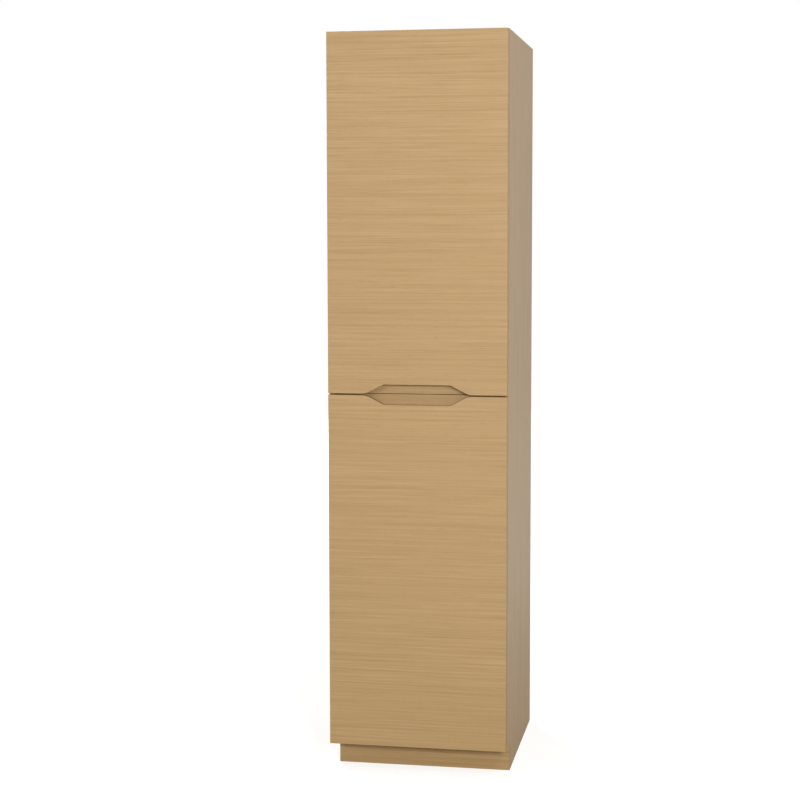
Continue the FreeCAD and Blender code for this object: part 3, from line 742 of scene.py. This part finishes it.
class CUPBOARD_OT_fastenings(bpy.types.Operator):
    """Make the screws, and finish the cams, bolts, shelf pegs and dowels"""
    bl_idname = "cupboard.fastenings"
    bl_label = "Fastenings"

    def execute(self, context):
        work = context.scene.metalwork
        steel = bpy.data.materials["nickel_plated_steel"]
        tree = screw_tree()
        to_left, to_front, to_top = (0, -math.pi / 2, 0), (math.pi / 2, 0, 0), (0, 0, 0)
        shared = {"Drive Span": work.drive_span, "Drive Width": work.drive_width,
                  "Drive Depth": work.drive_depth, "Seed": work.seed, "Material": steel}

        # Countersunk wood screws: node, body, axis along the screw, head at its high end or not, aim
        wood_screws = [
            ("plate_screws", "carcass", X, True, to_left),
            ("upper_cup_screws", "upper_leaf", Y, True, to_front),
            ("lower_cup_screws", "lower_leaf", Y, True, to_front),
            ("plinth_screws", "carcass", Z, False, to_top),
        ]
        for node, body, axis, head_high, aim in wood_screws:
            seats, span = seats_of(node, axis, head_high)
            face = span[(axis + 1) % 3]
            head = (face - work.wood_shank) / 2
            mesh = set_on_seats(node + "_turned", tree, seats, {
                **shared, "Aim": aim, "Face Radius": face / 2, "Base Radius": work.wood_shank / 2,
                "Head Height": head, "Shank Radius": work.wood_shank / 2,
                "Shank Length": span[axis] - head - work.wood_point, "Point Length": work.wood_point,
                "Thread Pitch": work.wood_pitch, "Thread Depth": work.wood_thread,
            })
            new_piece(node + "_turned", mesh, body, node)

        # Pan-head machine screws on the hinge arms
        seats, span = seats_of("arm_screws", X, True)
        mesh = set_on_seats("arm_screws_turned", tree, seats, {
            **shared, "Aim": to_left, "Face Radius": span.y / 2 * work.pan_face, "Base Radius": span.y / 2,
            "Head Height": work.pan_height, "Shank Radius": work.machine_shank / 2,
            "Shank Length": span.x - work.pan_height - work.machine_point,
            "Point Length": work.machine_point, "Thread Pitch": work.machine_pitch,
            "Thread Depth": work.machine_thread,
        })
        new_piece("arm_screws_turned", mesh, "carcass", "arm_screws")

        paint(["cam_bolts", "shelf_pins"], steel)
        paint(["cam_locks"], cast_zinc())
        paint(["dowels"], bpy.data.materials["bare_timber"])
        return {"FINISHED"}


class CUPBOARD_OT_bumpers(bpy.types.Operator):
    """Make the soft domed pads that the doors close on"""
    bl_idname = "cupboard.bumpers"
    bl_label = "Bumpers"

    def execute(self, context):
        silicone, tree = clear_silicone(), bumper_tree()
        to_rear = (-math.pi / 2, 0, 0)
        for door in DOORS:
            node = door + "_door_bumpers"
            seats, span = seats_of(node, Y, False)
            mesh = set_on_seats(node + "_domed", tree, seats, {
                "Radius": span.x / 2, "Height": span.y, "Aim": to_rear, "Seed": 1, "Material": silicone,
            })
            new_piece(node + "_domed", mesh, door + "_leaf", node)
        return {"FINISHED"}


class CUPBOARD_OT_stage(bpy.types.Operator):
    """Set the floor, the light and the camera"""
    bl_idname = "cupboard.stage"
    bl_label = "Stage"

    def execute(self, context):
        scene, stage = context.scene, context.scene.studio
        scene.view_settings.view_transform = "Standard"

        disc = bmesh.new()
        bmesh.ops.create_circle(disc, cap_ends=True, segments=64, radius=stage.floor_radius)
        mesh = bpy.data.meshes.new("floor")
        disc.to_mesh(mesh)
        disc.free()
        mesh.materials.append(studio_floor())
        floor = bpy.data.objects.new("floor", mesh)
        scene.collection.objects.link(floor)

        world = bpy.data.worlds.new("studio")
        world.use_nodes = True
        scene.world = world
        tree = world.node_tree
        strength = add(tree, "ShaderNodeMapRange", {0: seen_directly(tree), 3: stage.ambient, 4: 1.0})
        tree.links.new(strength.outputs[0], tree.nodes["Background"].inputs["Strength"])
        tree.nodes["Background"].inputs["Color"].default_value = WHITE

        for name in LAMPS:
            self.add_lamp(scene, name, stage)

        lens = bpy.data.cameras.new("camera")
        lens.lens = stage.focal
        lens.sensor_width = stage.sensor
        lens.shift_y = stage.rise
        camera = bpy.data.objects.new("camera", lens)
        scene.collection.objects.link(camera)
        turn = Matrix.Rotation(stage.yaw, 4, "Z") @ Matrix.Rotation(math.pi / 2 + stage.pitch, 4, "X")
        camera.matrix_world = Matrix.Translation(stage.eye) @ turn @ Matrix.Rotation(stage.roll, 4, "Z")
        scene.camera = camera
        return {"FINISHED"}

    def add_lamp(self, scene, name, stage):
        """Square soft lamp, aimed at the middle of the cupboard."""
        light = bpy.data.lights.new(name + "_lamp", "AREA")
        light.shape = "SQUARE"
        light.size = stage.lamp_size
        light.energy = getattr(stage, name + "_power")
        lamp = bpy.data.objects.new(name + "_lamp", light)
        scene.collection.objects.link(lamp)
        lamp.location = getattr(stage, name + "_lamp")
        middle = (CAD_BOX[0] + CAD_BOX[1]) / 2
        lamp.rotation_euler = (middle - lamp.location).to_track_quat("-Z", "Y").to_euler()
        lamp.visible_camera = False


OPERATORS = (CUPBOARD_OT_doors, CUPBOARD_OT_carcass, CUPBOARD_OT_plinth, CUPBOARD_OT_hinges,
             CUPBOARD_OT_fastenings, CUPBOARD_OT_bumpers, CUPBOARD_OT_stage)
GROUPS = {"board_print": BoardPrint, "metalwork": Metalwork, "plain_parts": PlainParts, "studio": Studio}


class CUPBOARD_PT_panel(bpy.types.Panel):
    """Sizes, colours and steps of the broom cupboard"""
    bl_idname = "CUPBOARD_PT_panel"
    bl_label = "Broom cupboard"
    bl_space_type = "VIEW_3D"
    bl_region_type = "UI"
    bl_category = "Cupboard"

    def draw(self, context):
        for group in GROUPS:
            box = self.layout.box()
            values = getattr(context.scene, group)
            for name in values.__annotations__:
                box.prop(values, name)
        for step in OPERATORS:
            self.layout.operator(step.bl_idname)


CLASSES = (*GROUPS.values(), *OPERATORS, CUPBOARD_PT_panel)


def register():
    for one in CLASSES:
        bpy.utils.register_class(one)
    for name, group in GROUPS.items():
        setattr(bpy.types.Scene, name, PointerProperty(type=group))


def unregister():
    for name in GROUPS:
        delattr(bpy.types.Scene, name)
    for one in reversed(CLASSES):
        bpy.utils.unregister_class(one)


def main():
    """Run every step."""
    register()
    bpy.ops.cupboard.doors()
    bpy.ops.cupboard.carcass()
    bpy.ops.cupboard.plinth()
    bpy.ops.cupboard.hinges()
    bpy.ops.cupboard.fastenings()
    bpy.ops.cupboard.bumpers()
    bpy.ops.cupboard.stage()


if __name__ == "__main__":
    main()
